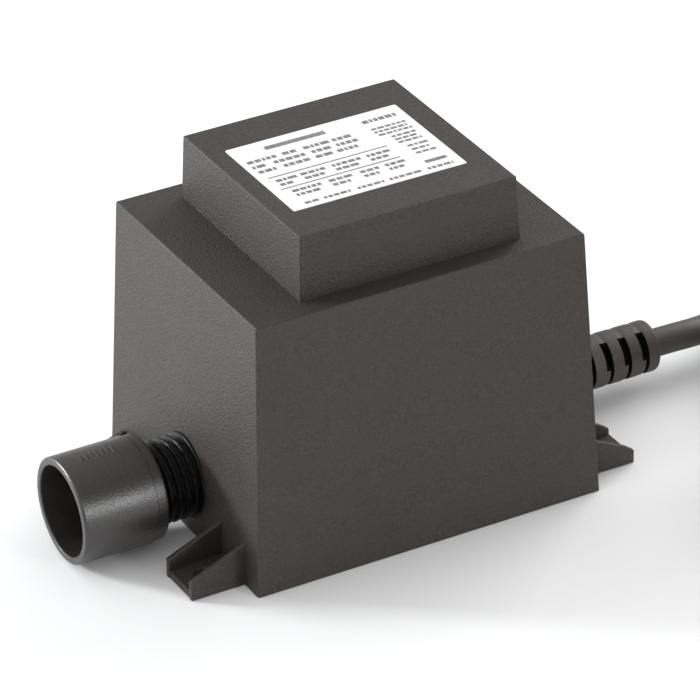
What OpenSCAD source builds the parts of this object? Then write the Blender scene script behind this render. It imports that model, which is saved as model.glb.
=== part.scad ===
// Low voltage garden transformer: potted mains transformer in a plastic box with
// a screw collar on its 12 V outlet and a mains cord with a moulded strain relief.
// Millimetres. Origin: centre of the base, on the surface that it rests on. +Z up,
// outlet towards -X, mains cord towards +X.

/* [Housing] */
// Length of the box at its base
base_l = 100.8; // [96:0.1:104]
// Width of the box at its base
base_w = 82.7; // [80:0.1:86]
// Length of the box at its top
top_l = 94.4; // [91:0.1:96]
// Width of the box at its top
top_w = 76.6; // [74:0.1:79]
// Height of the box
box_h = 75.8; // [75.5:0.1:78]
// Length of the raised block
block_l = 62; // [59:0.1:66]
// Width of the raised block
block_w = 62.6; // [59:0.1:66]
// Lengthwise shift of the raised block
block_x = 0.3; // [-0.5:0.1:0.8]
// Height of the raised block
block_h = 17.7; // [17.2:0.1:22]
// Wall thickness
wall = 2.5; // [2:0.1:2.5]
// Radius along the outer edges
edge_r = 0.5; // [0.3:0.1:1.2]

/* [Mounting ears] */
// Distance of an ear's tip from the middle
ear_tip = 65.5; // [62:0.1:68]
// Distance of an ear's centre line from the middle
ear_y = 27; // [24:0.1:29]
// Width of an ear
ear_w = 14; // [12:0.1:15]
// Height of the outlet side ears' webs at their tip
ear_tip_h = 5.2; // [3.5:0.1:5.6]
// Height of the cord side ears' webs at their tip
cord_ear_tip_h = 3.6; // [3:0.1:5.6]
// Thickness of an ear's floor
ear_floor = 2.2; // [1.8:0.1:3]
// Thickness of an ear's side webs
ear_web = 1.5; // [1.2:0.1:2.2]
// Radius of the screw holes
ear_hole_r = 2.4; // [1.5:0.1:2.6]
// Distance of the screw holes from the middle
ear_hole_x = 58.4; // [56:0.1:60]

/* [Outlet] */
// Height of the outlet's axis
outlet_z = 15.1; // [14.9:0.1:16]
// Sideways place of the outlet's axis
outlet_y = -1; // [-2:0.1:1]
// Largest radius of the spigot's thread
thread_r = 11; // [10.8:0.1:11.1]
// Depth of the spigot's thread
thread_depth = 1.1; // [0.8:0.1:1.2]
// Pitch of the thread
thread_pitch = 2.4; // [2:0.1:3]
// Radial clearance between the two threads
thread_gap = 0.35; // [0.3:0.05:0.4]
// Outer radius of the screw collar
collar_r = 14.3; // [14:0.1:14.4]
// Radius of the collar's mouth
mouth_r = 12.1; // [12:0.1:12.4]

/* [Mains cord] */
// Diameter of the cord
cord_d = 7.8; // [7:0.1:7.8]
// Height of the cord's axis where it leaves the box
cord_z = 11; // [10:0.1:12]

/* [Core] */
// Width of the leg through the coil
leg = 26; // [24:0.1:26]
// Height of the stack of laminations
stack = 41; // [38:0.1:41]

/* [Hidden] */

charcoal = [0.29, 0.28, 0.27];
black = [0.16, 0.15, 0.15];

draft = (base_l - top_l) / 2 / box_h;      // the walls lean in by this much per mm
total_h = box_h + block_h;
ceil_z = box_h - wall;                     // underside of the box's top wall

// lamination sizes follow from the leg: windows and outer legs are half of it
win = leg / 2;
core_l = leg * 3;
core_w = leg * 2.5;
core_z = ceil_z - 0.3 - stack;             // underside of the stack
mid_z = core_z + stack / 2;
win_l = leg * 1.5;                         // length of the winding window

bob_x = leg / 2 + win - 0.2;               // half size of the bobbin's flanges
bob_z = stack / 2 + win - 0.5;
bob_y = win_l / 2 - 0.2;
flange_t = 1.3;
tube_t = 1;
tube_x = leg / 2 + 0.2 + tube_t;
tube_z = stack / 2 + 0.2 + tube_t;
coil_x = bob_x - 1.4;
coil_z = bob_z - 1.6;

// the collar at rest
collar_back = -61.4;
collar_mouth = -85.2;
collar_band = 5.6;                         // length of its internal thread
spigot_end = -72;
shank_x = -50.2;

contact_y = 4.5;
term_low = 9.5;

// the mains cord, from inside the box to its coil
cord_route = [[40, 0, cord_z], [65, 0, cord_z], [90, 0, cord_z], [99, 0, cord_z - 0.15],
    [105, 0.4, cord_z - 0.6], [111, 1.9, 9.5], [117, 4.3, 8.1], [123, 7.9, 6.5],
    [129, 11.6, 5], [135, 15.4, 4.1], [140, 18.5, 3.9]];
// from the coil's last turn to the plug
tail_route = [[171, 27.5, 12.4], [182.3, 26, 14.6], [192.9, 21.6, 17],
    [201.9, 14.7, 19], [208.9, 5.6, 19.9], [213.3, -4.9, 20.1], [214.8, -16.3, 20.4],
    [213.3, -27.6, 21.4], [208.9, -38.1, 23], [201.9, -47.2, 25],
    [192.9, -54.1, 27], [182.3, -58.5, 28.4], [171, -60, 28.8]];
coil_at = [171, -30.5];
coil_in = 29.4;
coil_out = 62.1;
coil_h = 15.8;
tie_turn = 15;                             // place of the tie round the coil
plug_y = -60;
plug_z = 28.8;
plug_face = 109;
plug_len = 34;
boot_end = 171;

// a closed tube that follows a list of points
function unit(v) = v / norm(v);
function along(p, i) = unit(p[min(i + 1, len(p) - 1)] - p[max(i - 1, 0)]);
function ring_at(p, i, r, n) =
    let (t = along(p, i), s = unit(cross(t, [0, 0, 1])), u = cross(s, t))
    [for (j = [0 : n - 1]) p[i] + r * cos(360 * j / n) * s + r * sin(360 * j / n) * u];
module sweep_tube(p, r, n) {
    m = len(p);
    pts = [for (i = [0 : m - 1]) each ring_at(p, i, r, n)];
    sides = [for (i = [0 : m - 2]) for (j = [0 : n - 1])
        let (a = i * n + j, b = i * n + (j + 1) % n)
        each [[a, b + n, b], [a, a + n, b + n]]];
    polyhedron(points = pts, faces = concat(sides,
        [[for (j = [0 : n - 1]) j]], [[for (j = [n - 1 : -1 : 0]) (m - 1) * n + j]]));
}

// a right-hand threaded rod along X, the radius swings between two values
function wave(a) = min(1, max(-1, 1.7 * cos(a)));
module threaded_rod(x0, x1, extra, n = 30, rows = 8) {
    k = ceil((x1 - x0) / (thread_pitch / rows));
    mean = thread_r - thread_depth / 2 + extra;
    pts = concat([for (i = [0 : k]) for (j = [0 : n - 1])
        let (x = x0 + (x1 - x0) * i / k, a = 360 * j / n,
            r = mean + thread_depth / 2 * wave(a - 360 * x / thread_pitch))
        [x, r * cos(a), r * sin(a)]], [[x0, 0, 0], [x1, 0, 0]]);
    c0 = n * (k + 1);
    polyhedron(points = pts, faces = concat(
        [for (i = [0 : k - 1]) for (j = [0 : n - 1])
            let (a = i * n + j, b = i * n + (j + 1) % n)
            each [[a, b + n, b], [a, a + n, b + n]]],
        [for (j = [0 : n - 1]) [c0, j, (j + 1) % n]],
        [for (j = [0 : n - 1]) [c0 + 1, k * n + (j + 1) % n, k * n + j]]));
}

// a cylinder along X from x0 to x1
module rod_x(x0, x1, r) {
    translate([x0, 0, 0]) rotate([0, 90, 0]) cylinder(r = r, h = x1 - x0, $fn = 64);
}
// a solid of revolution round X; the profile is [distance along X, radius]
module turned_x(profile) {
    rotate([0, 90, 0]) rotate_extrude($fn = 96)
        polygon([for (p = profile) [p[1], p[0]]]);
}
module rounded_rect(a, b, r) {
    square([a, b - 2 * r], center = true);
    square([a - 2 * r, b], center = true);
    for (x = [-1, 1], y = [-1, 1])
        translate([x * (a / 2 - r), y * (b / 2 - r)]) circle(r = r, $fn = 32);
}
// a frustum with flat sides, half sizes at its low and high ends
module frustum(ax, ay, z0, bx, by, z1) {
    polyhedron(points = [[-ax, -ay, z0], [ax, -ay, z0], [ax, ay, z0], [-ax, ay, z0],
        [-bx, -by, z1], [bx, -by, z1], [bx, by, z1], [-bx, by, z1]],
        faces = [[0, 1, 2, 3], [7, 6, 5, 4], [0, 4, 5, 1], [1, 5, 6, 2],
            [2, 6, 7, 3], [3, 7, 4, 0]]);
}
// the same with rounded upright and top edges
module soft_frustum(ax, ay, z0, bx, by, z1, r) {
    hull() for (x = [-1, 1], y = [-1, 1]) {
        translate([x * (ax - r), y * (ay - r), z0]) cylinder(r = r, h = 0.01, $fn = 24);
        translate([x * (bx - r), y * (by - r), z1 - r]) sphere(r = r, $fn = 24);
    }
}

module main_cavity() {
    frustum(base_l / 2 - wall, base_w / 2 - wall, 0,
        base_l / 2 - wall - draft * ceil_z, base_w / 2 - wall - draft * ceil_z, ceil_z);
}
module block_cavity() {
    translate([block_x, 0, 0]) frustum(block_l / 2 - wall + 0.9, block_w / 2 - wall + 0.9, ceil_z - 1,
        block_l / 2 - wall, block_w / 2 - wall, total_h - wall);
}

module ear(tip_h, rise, root_h) {
    half = base_l / 2;
    web = [[half - 2, 0], [ear_tip, 0], [ear_tip, tip_h], [ear_tip - 2.6, tip_h + rise],
        [half - 0.45, root_h], [half - 2, root_h + 0.6]];
    difference() {
        union() {
            for (y = [-ear_w / 2, ear_w / 2 - ear_web])
                translate([0, y + ear_web, 0]) rotate([90, 0, 0])
                    linear_extrude(ear_web) polygon(web);
            translate([half - 2, -ear_w / 2 + 0.5, 0])
                cube([ear_tip - half + 2, ear_w - 1, ear_floor]);
        }
        translate([ear_hole_x, 0, -1]) cylinder(r = ear_hole_r, h = 10, $fn = 48);
    }
}

module housing() {
    color(charcoal) difference() {
        union() {
            difference() {
                union() {
                    soft_frustum(base_l / 2, base_w / 2, 0, top_l / 2, top_w / 2, box_h, edge_r);
                    translate([block_x, 0, 0]) soft_frustum(block_l / 2 + 0.75, block_w / 2 + 0.75, box_h - 1.5,
                        block_l / 2, block_w / 2, total_h, edge_r);
                }
                translate([0, 0, -0.001]) main_cavity();
                block_cavity();
            }
            for (x = [0, 1], y = [-1, 1]) mirror([x, 0, 0]) translate([0, y * ear_y, 0])
                ear(x == 0 ? cord_ear_tip_h : ear_tip_h, x == 0 ? 1.8 : 1.2,
                    x == 1 && y == 1 ? 10.6 : 11.7);
        }
        translate([0, outlet_y, outlet_z]) rod_x(-53, -44, 11.45);
        translate([0, 0, cord_z]) rod_x(44, 53, 6.35);
    }
}

module core_outline(extra) {
    translate([-core_l / 2 - extra, -core_w / 2 - extra, core_z - extra])
        cube([core_l + 2 * extra, core_w + 2 * extra, stack + 2 * extra]);
}
module bobbin_outline(extra) {
    translate([-bob_x - extra, -bob_y - extra, mid_z - bob_z - extra])
        cube([2 * (bob_x + extra), 2 * (bob_y + extra), 2 * (bob_z + extra)]);
}
// a square channel round a wire between two points that differ along one axis
module channel(a, b, half) {
    translate([min(a[0], b[0]) - half, min(a[1], b[1]) - half, min(a[2], b[2]) - half])
        cube([abs(a[0] - b[0]) + 2 * half, abs(a[1] - b[1]) + 2 * half,
            abs(a[2] - b[2]) + 2 * half]);
}

module potting_compound() {
    color([0.2, 0.19, 0.17]) difference() {
        union() {
            main_cavity();
            block_cavity();
        }
        core_outline(0.05);
        bobbin_outline(0.05);
        // the outlet spigot, its socket and its two leads
        translate([0, outlet_y, outlet_z]) {
            rod_x(-50, -46.35, 11.5);
            rod_x(-46.35, -43.75, 14.05);
            rod_x(-43.8, -41.9, 8.75);
        }
        for (s = [-1, 1]) translate([0, outlet_y + s * contact_y, outlet_z]) {
            translate([-42, -2.9, -2.9]) cube([9, 5.8, 5.8]);
            translate([-33.2, -1.7, -1.7])
                cube([(s > 0 ? -16 : -6) + 33.2 + 1.7, 3.4, 3.4]);
            translate([(s > 0 ? -16 : -6) - 1.7, -1.7, -1.7])
                cube([3.4, bob_y - outlet_y - s * contact_y + 2.6, 3.4]);
        }
        // terminals under the bobbin's flanges
        for (x = [-16, -6]) translate([x - 1, bob_y - 1.7, outlet_z - 3]) cube([2, 2.1, 10]);
        for (x = [6, 16]) translate([x - 1, -bob_y - 0.4, term_low - 0.1]) cube([2, 2.1, 12]);
        // the cord's end, its cores, their joints and the primary leads
        translate([0, 0, cord_z]) {
            rod_x(46.35, 50, 6.4);
            rod_x(44.1, 46.4, 9.05);
            rod_x(39.9, 44.2, 4);
        }
        for (s = [-1, 1]) {
            translate([s > 0 ? 22 : 36, s * 2.2 - 1.35, cord_z - 1.35])
                cube([s > 0 ? 18 : 4, 2.7, 2.7]);
            translate([s > 0 ? 11.9 : 25.9, s * 2.2 - 2.4 + (s > 0 ? 0.6 : -0.6), cord_z - 2.4])
                cube([10.2, 4.8, 4.8]);
            translate([(s > 0 ? 6 : 16) - 1.3, s * 2.2 - 1.3, cord_z - 1.3])
                cube([(s > 0 ? 12 : 26) - (s > 0 ? 6 : 16) + 1.3, 2.6, 2.6]);
            translate([(s > 0 ? 6 : 16) - 1.3, -bob_y - 0.6, cord_z - 1.3])
                cube([2.6, bob_y + s * 2.2 + 0.6, 2.6]);
        }
        // the thermal cut-out
        translate([-15.1, -12.1, mid_z - bob_z - 3.2]) cube([12.2, 5.2, 6]);
    }
}

module e_laminations() {
    color([0.45, 0.45, 0.47]) translate([0, 0, core_z]) linear_extrude(stack)
        polygon([[-core_l / 2, core_w / 2], [-core_l / 2, -win_l / 2], [-leg, -win_l / 2],
            [-leg, win_l / 2], [-leg / 2, win_l / 2], [-leg / 2, -win_l / 2],
            [leg / 2, -win_l / 2], [leg / 2, win_l / 2], [leg, win_l / 2],
            [leg, -win_l / 2], [core_l / 2, -win_l / 2], [core_l / 2, core_w / 2]]);
}
module i_laminations() {
    color([0.42, 0.42, 0.44]) translate([-core_l / 2, -core_w / 2, core_z])
        cube([core_l, win, stack]);
}

module frame_y(y0, y1, hx, hz, r, ix, iz) {
    translate([0, y1, mid_z]) rotate([90, 0, 0]) linear_extrude(y1 - y0) difference() {
        rounded_rect(2 * hx, 2 * hz, r);
        square([2 * ix, 2 * iz], center = true);
    }
}
module bobbin() {
    color([0.85, 0.83, 0.76]) {
        frame_y(-bob_y, bob_y, tube_x, tube_z, 0.5, leg / 2 + 0.2, stack / 2 + 0.2);
        for (y = [-bob_y, -0.6, bob_y - flange_t])
            frame_y(y, y + (y == -0.6 ? 1.2 : flange_t), bob_x, bob_z, 1.2,
                leg / 2 + 0.2, stack / 2 + 0.2);
    }
}
module primary_winding() {
    color([0.72, 0.38, 0.2])
        frame_y(-bob_y + flange_t + 0.1, -0.7, coil_x, coil_z, 4, tube_x + 0.05, tube_z + 0.05);
}
module secondary_winding() {
    color([0.76, 0.42, 0.22])
        frame_y(0.7, bob_y - flange_t - 0.1, coil_x, coil_z, 4, tube_x + 0.05, tube_z + 0.05);
}
module tape_wrap(y0, y1) {
    translate([0, y1, mid_z]) rotate([90, 0, 0]) linear_extrude(y1 - y0) difference() {
        rounded_rect(2 * coil_x + 1.1, 2 * coil_z + 1.1, 4.55);
        rounded_rect(2 * coil_x + 0.1, 2 * coil_z + 0.1, 4.05);
    }
}
module primary_tape() {
    color([0.93, 0.86, 0.35]) tape_wrap(-bob_y + flange_t + 0.1, -0.7);
}
module secondary_tape() {
    color([0.93, 0.86, 0.35]) tape_wrap(0.7, bob_y - flange_t - 0.1);
}

module thermal_cutout() {
    z = mid_z - coil_z - 0.6;
    color([0.9, 0.9, 0.88]) translate([-15, -12, z - 3.8]) cube([12, 5, 3.8]);
}

module bobbin_terminals() {
    color([0.8, 0.8, 0.82]) {
        for (x = [-16, -6]) translate([x - 0.5, bob_y - 1.15, outlet_z - 2.9])
            cube([1, 1, mid_z - bob_z - outlet_z + 2.9]);
        for (x = [6, 16]) translate([x - 0.5, -bob_y + 0.15, term_low])
            cube([1, 1, mid_z - bob_z - term_low]);
    }
}

// a wire that runs along X and then along Y, with a round corner
module bent_wire(x0, x1, y0, y1, z, r) {
    s = sign(y1 - y0);
    bend = r + 0.6;
    dx = sign(x0 - x1);
    translate([min(x0, x1 + dx * bend), y0, z]) rotate([0, 90, 0])
        cylinder(r = r, h = abs(x0 - x1) - bend, $fn = 24);
    translate([x1, s > 0 ? y0 + bend : y1, z]) rotate([-90, 0, 0])
        cylinder(r = r, h = abs(y1 - y0) - bend, $fn = 24);
    intersection() {
        translate([x1 + dx * bend, y0 + s * bend, z]) rotate_extrude($fn = 48)
            translate([bend, 0]) circle(r = r, $fn = 24);
        translate([dx > 0 ? x1 - 2 * r : x1 - bend, s > 0 ? y0 - 2 * r : y0 - bend, z - 2 * r])
            cube([bend + 2 * r, bend + 2 * r, 4 * r]);
    }
}
module primary_leads() {
    color([0.75, 0.2, 0.15]) {
        bent_wire(12, 6, 2.2, -bob_y + 1.3, cord_z, 1.1);
        bent_wire(26, 16, -2.2, -bob_y + 1.3, cord_z, 1.1);
    }
}
module secondary_leads() {
    color([0.2, 0.2, 0.75]) {
        bent_wire(-33, -16, outlet_y + contact_y, bob_y - 1.3, outlet_z, 1.4);
        bent_wire(-33, -6, outlet_y - contact_y, bob_y - 1.3, outlet_z, 1.4);
    }
}
module crimp_joints() {
    color([0.75, 0.15, 0.15]) for (s = [-1, 1])
        translate([0, s * 2.2 + (s > 0 ? 0.6 : -0.6), cord_z])
            rod_x(s > 0 ? 12 : 26, s > 0 ? 22 : 36, 2.3);
}
module mains_cores() {
    color([0.45, 0.28, 0.15]) for (s = [-1, 1])
        translate([0, s * 2.2, cord_z]) rod_x(s > 0 ? 22 : 36, 39.9, 1.2);
}

module outlet_spigot() {
    color(black) translate([0, outlet_y, outlet_z]) difference() {
        union() {
            threaded_rod(spigot_end, shank_x + 0.3, 0);
            rod_x(shank_x, -46, 11.4);
            rod_x(-46.3, -43.8, 14);
        }
        rod_x(spigot_end - 1, -43, 8.8);
    }
}
module socket_insert() {
    color([0.1, 0.1, 0.1]) translate([0, outlet_y, outlet_z]) difference() {
        rod_x(-70.5, -42, 8.7);
        for (s = [-1, 1]) translate([0, s * contact_y, 0]) rod_x(-71, -41, 2.65);
    }
}
module contact_sleeves() {
    color([0.8, 0.66, 0.3]) for (s = [-1, 1])
        translate([0, outlet_y + s * contact_y, outlet_z]) difference() {
            union() {
                rod_x(-69.5, -42, 2.6);
                rod_x(-42, -33, 1.6);
            }
            rod_x(-70, -52, 1.6);
        }
}

module collar() {
    b = collar_back;
    m = collar_mouth;
    shoulder = b - collar_band;
    lip = m + 0.7 + 12;
    color(black) translate([0, outlet_y, outlet_z]) difference() {
        turned_x([[b, 9], [b, collar_r - 0.5], [b - 3, collar_r], [m + 0.9, collar_r],
            [m + 0.35, collar_r - 0.2], [m, collar_r - 0.75], [m, mouth_r + 0.6],
            [m + 0.25, mouth_r + 0.2], [m + 0.7, mouth_r],
            [lip, mouth_r], [lip, mouth_r - 0.5], [lip + 0.9, mouth_r - 0.5],
            [lip + 0.9, mouth_r - 0.2], [shoulder, mouth_r - 0.2], [shoulder, 9]]);
        threaded_rod(shoulder - 0.3, b + 0.3, thread_gap);
    }
}
module collar_gasket() {
    x1 = collar_back - collar_band - 0.3;
    color([0.08, 0.08, 0.08]) translate([0, outlet_y, outlet_z]) difference() {
        rod_x(x1 - 2, x1, mouth_r - 0.25);
        rod_x(x1 - 3, x1 + 1, 11.35);
    }
}

module strain_relief() {
    slots = [58.6, 64.2, 69.8, 75.4, 81, 86.6];
    color(black) translate([0, 0, cord_z]) difference() {
        turned_x([[44.2, cord_d / 2 + 0.05], [44.2, 9], [46.3, 9], [46.3, 6.3], [50.35, 6.3],
            [50.35, 7.7], [52, 7.7], [52.8, 7.4], [90, 7.1], [90.6, 6.8],
            [90.9, 6.1], [90.9, cord_d / 2 + 0.05]]);
        for (x = slots) {
            // a thin groove low on the seen side, and three deep windows round the sleeve
            difference() {
                rotate([115, 0, 0]) translate([x - 0.3, -4.4, 3]) cube([0.8, 8.8, 6]);
                rod_x(x - 1, x + 1, 5.9);
            }
            for (a = [55, 175, 295]) rotate([a, 0, 0])
                translate([x - 1.7, -3.6, 4.7]) cube([2.2, 7.2, 5]);
        }
    }
}

module mains_cord() {
    color(black) sweep_tube(cord_route, cord_d / 2, 12);
}
module cord_tail() {
    color(black) sweep_tube(tail_route, cord_d / 2, 12);
}
module cord_coil() {
    color(black) translate([coil_at[0], coil_at[1], 0]) difference() {
        rotate_extrude($fn = 96) polygon([[coil_in + 3, 0], [coil_out - 3, 0],
            [coil_out, 3], [coil_out, coil_h - 3], [coil_out - 3, coil_h],
            [coil_in + 3, coil_h], [coil_in, coil_h - 3], [coil_in, 3]]);
        rotate([0, 0, tie_turn]) translate([-3.2, -coil_out - 1, -1])
            cube([6.4, coil_out - coil_in + 2, 2.1]);
    }
}
module coil_tie() {
    color([0.1, 0.1, 0.1]) translate([coil_at[0], coil_at[1], 0])
        rotate([0, 0, tie_turn]) translate([-3, 0, 0]) {
        difference() {
            translate([0, -coil_out - 1.2, 0]) cube([6, coil_out - coil_in + 2.4, coil_h + 1.1]);
            translate([-1, -coil_out - 0.1, 1]) cube([8, coil_out - coil_in + 0.4, coil_h - 0.9]);
        }
        translate([-1, -coil_out - 3.7, 5]) cube([8, 2.5, 6]);
    }
}

module plug_slice(x, a, b, r, t) {
    translate([x, plug_y, plug_z]) rotate([90, 0, 90]) linear_extrude(t) rounded_rect(a, b, r);
}
module mains_plug() {
    color(black) {
        hull() {
            plug_slice(plug_face, 34.5, 24.5, 9, 0.01);
            plug_slice(plug_face + 1.2, 36, 26, 10, 9);
        }
        hull() {
            plug_slice(plug_face + 10, 36, 26, 10, 0.01);
            plug_slice(plug_face + 21, 27, 21, 9, 0.01);
        }
        hull() {
            plug_slice(plug_face + 21, 27, 21, 9, 0.01);
            plug_slice(plug_face + plug_len, 14, 14, 6.9, 0.01);
        }
        translate([0, plug_y, plug_z]) turned_x([[plug_face + plug_len - 1, 0],
            [plug_face + plug_len - 1, 6.9], [boot_end, 5.2], [boot_end, 0]]);
    }
}
module plug_pins() {
    color([0.8, 0.8, 0.82]) for (s = [-1, 1])
        translate([0, plug_y + s * 9.5, plug_z]) turned_x([[plug_face, 0], [plug_face, 2.4],
            [plug_face - 17.5, 2.4], [plug_face - 18.6, 1.6], [plug_face - 19, 0]]);
}

module rating_label() {
    color([0.88, 0.88, 0.87]) translate([-0.7, -0.4, total_h]) linear_extrude(0.15)
        rounded_rect(49.6, 37, 0.4);
}

housing();
potting_compound();
e_laminations();
i_laminations();
bobbin();
primary_winding();
secondary_winding();
primary_tape();
secondary_tape();
thermal_cutout();
bobbin_terminals();
primary_leads();
secondary_leads();
crimp_joints();
mains_cores();
outlet_spigot();
socket_insert();
contact_sleeves();
collar();
collar_gasket();
strain_relief();
mains_cord();
cord_coil();
cord_tail();
coil_tie();
mains_plug();
plug_pins();
rating_label();
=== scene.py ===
import math

import bmesh
import bpy
from mathutils import Matrix, Vector
from mathutils.geometry import delaunay_2d_cdt


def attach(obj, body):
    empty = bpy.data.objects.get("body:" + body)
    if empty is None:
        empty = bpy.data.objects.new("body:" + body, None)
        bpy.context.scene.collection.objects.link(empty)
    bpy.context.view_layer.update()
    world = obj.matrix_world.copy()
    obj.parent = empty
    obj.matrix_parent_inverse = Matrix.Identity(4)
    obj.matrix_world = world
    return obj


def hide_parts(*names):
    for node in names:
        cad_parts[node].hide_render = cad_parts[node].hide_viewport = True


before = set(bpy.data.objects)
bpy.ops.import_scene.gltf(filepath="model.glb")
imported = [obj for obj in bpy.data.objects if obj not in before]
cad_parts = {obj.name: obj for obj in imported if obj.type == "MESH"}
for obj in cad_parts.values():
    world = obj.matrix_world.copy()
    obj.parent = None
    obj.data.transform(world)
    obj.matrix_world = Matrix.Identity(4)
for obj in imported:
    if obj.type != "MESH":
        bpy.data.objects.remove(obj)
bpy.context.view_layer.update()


scene = bpy.context.scene
MM = 0.001

# ---------------------------------------------------------------- camera
YAW, PITCH, ROLL = math.radians(-28.481), math.radians(30.369), math.radians(-1.142)
back = Vector(
    (math.sin(YAW) * math.cos(PITCH), -math.cos(YAW) * math.cos(PITCH), math.sin(PITCH))
)
level = Vector((math.cos(YAW), math.sin(YAW), 0))
upward = back.cross(level)
cam_x = level * math.cos(ROLL) + upward * math.sin(ROLL)
cam_y = -level * math.sin(ROLL) + upward * math.cos(ROLL)
cam_data = bpy.data.cameras.new("camera")
cam_data.sensor_fit = "HORIZONTAL"
cam_data.sensor_width = 36
cam_data.lens = 36 * 4908.09 / 700
cam_data.clip_start = 0.05
cam_data.clip_end = 20
camera = bpy.data.objects.new("camera", cam_data)
scene.collection.objects.link(camera)
turn = Matrix((cam_x, cam_y, back)).transposed().to_4x4()
camera.matrix_world = Matrix.Translation((-0.52297, -0.96336, 0.67891)) @ turn
scene.camera = camera


# ---------------------------------------------------------------- mesh helpers
def add(name, verts, faces, body="box", slot=None, mats=(), face_mats=None):
    mesh = bpy.data.meshes.new(name)
    mesh.from_pydata([(x * MM, y * MM, z * MM) for x, y, z in verts], [], faces)
    mesh.validate()
    obj = bpy.data.objects.new(name, mesh)
    scene.collection.objects.link(obj)
    for m in mats:
        mesh.materials.append(m)
    if face_mats:
        mesh.polygons.foreach_set("material_index", face_mats)
    outward(obj)
    if body:
        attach(obj, body)
    return obj


def outward(obj):
    bm = bmesh.new()
    bm.from_mesh(obj.data)
    bmesh.ops.recalc_face_normals(bm, faces=bm.faces)
    bm.to_mesh(obj.data)
    bm.free()
    obj.data.update()


def smooth(obj, angle=35.0, weighted=True):
    obj.data.polygons.foreach_set("use_smooth", [True] * len(obj.data.polygons))
    obj.data.set_sharp_from_angle(angle=math.radians(angle))
    if weighted:
        m = obj.modifiers.new("normals", "WEIGHTED_NORMAL")
        m.keep_sharp = True
        m.weight = 80
    obj.data.update()
    return obj


def grid(rings, closed=False, cap_start=False, cap_end=False):
    n, m = len(rings[0]), len(rings)
    verts = [p for ring in rings for p in ring]
    faces = []
    for i in range(m if closed else m - 1):
        a, b = i * n, (i + 1) % m * n
        for j in range(n):
            k = (j + 1) % n
            faces.append((a + j, a + k, b + k, b + j))
    if cap_start:
        faces.append(tuple(range(n - 1, -1, -1)))
    if cap_end:
        faces.append(tuple((m - 1) * n + j for j in range(n)))
    return verts, faces


def fillet(corners, closed=True, seg=4):
    """Rounds the corners (x, y, radius) of a polygon."""
    out, n = [], len(corners)
    for i, (x, y, rad) in enumerate(corners):
        if rad <= 0 or (not closed and i in (0, n - 1)):
            out.append((x, y))
            continue
        here = Vector((x, y))
        p = Vector(corners[(i - 1) % n][:2]) - here
        q = Vector(corners[(i + 1) % n][:2]) - here
        lp, lq = p.length, q.length
        p.normalize()
        q.normalize()
        half = math.acos(max(-1, min(1, p.dot(q)))) / 2
        if half > 1.55:
            out.append((x, y))
            continue
        t = min(rad / math.tan(half), 0.48 * lp, 0.48 * lq)
        r = t * math.tan(half)
        mid = here + (p + q).normalized() * (r / math.sin(half))
        a, b = here + p * t - mid, here + q * t - mid
        sweep = math.atan2(a.x * b.y - a.y * b.x, a.dot(b))
        for k in range(seg + 1):
            w = sweep * k / seg
            out.append(
                (
                    mid.x + a.x * math.cos(w) - a.y * math.sin(w),
                    mid.y + a.x * math.sin(w) + a.y * math.cos(w),
                )
            )
    return out


def ring_x(x, r, n, cy, cz):
    """A ring of points round an axis along X; r is a number or a function of the angle in degrees."""
    pts = []
    for j in range(n):
        a = 360 * j / n
        rr = r(a) if callable(r) else r
        pts.append(
            (x, cy + rr * math.cos(math.radians(a)), cz + rr * math.sin(math.radians(a)))
        )
    return pts


def lathe_x(profile, n, cy, cz):
    """A closed ring or, where the profile starts and ends on the axis, a solid turned piece."""
    solid = profile[0][1] < 1e-6
    rows = profile[1:-1] if solid else profile
    rings = [ring_x(x, r, n, cy, cz) for x, r in rows]
    if not solid:
        return grid(rings, closed=True)
    verts, faces = grid(rings)
    for i, (x, _) in ((0, profile[0]), (len(rings) - 1, profile[-1])):
        verts.append((x, cy, cz))
        tip = len(verts) - 1
        for j in range(n):
            faces.append((i * n + j, i * n + (j + 1) % n, tip))
    return verts, faces


def step(t, a, b):
    """0 below a, 1 above b, smooth between."""
    if a == b:
        return 0.0 if t < a else 1.0
    t = max(0.0, min(1.0, (t - a) / (b - a)))
    return t * t * (3 - 2 * t)


def prism(points, y0, y1):
    """A polygon in the X-Z plane, extruded along Y."""
    n = len(points)
    verts = [(x, y0, z) for x, z in points] + [(x, y1, z) for x, z in points]
    faces = [tuple(range(n)), tuple(range(2 * n - 1, n - 1, -1))]
    faces += [(i, (i + 1) % n, n + (i + 1) % n, n + i) for i in range(n)]
    return verts, faces


def frustum(ax, ay, z0, bx, by, z1):
    verts = [(-ax, -ay, z0), (ax, -ay, z0), (ax, ay, z0), (-ax, ay, z0)]
    verts += [(-bx, -by, z1), (bx, -by, z1), (bx, by, z1), (-bx, by, z1)]
    faces = [(3, 2, 1, 0), (4, 5, 6, 7), (0, 1, 5, 4), (1, 2, 6, 5), (2, 3, 7, 6), (3, 0, 4, 7)]
    return verts, faces


def bevel(obj, offset, seg, test):
    bm = bmesh.new()
    bm.from_mesh(obj.data)
    bm.edges.ensure_lookup_table()
    edges = [e for e in bm.edges if test([v.co / MM for v in e.verts])]
    bmesh.ops.bevel(
        bm,
        geom=edges,
        offset=offset * MM,
        offset_type="OFFSET",
        segments=seg,
        profile=0.5,
        affect="EDGES",
        clamp_overlap=True,
    )
    bm.to_mesh(obj.data)
    bm.free()
    obj.data.update()


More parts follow.
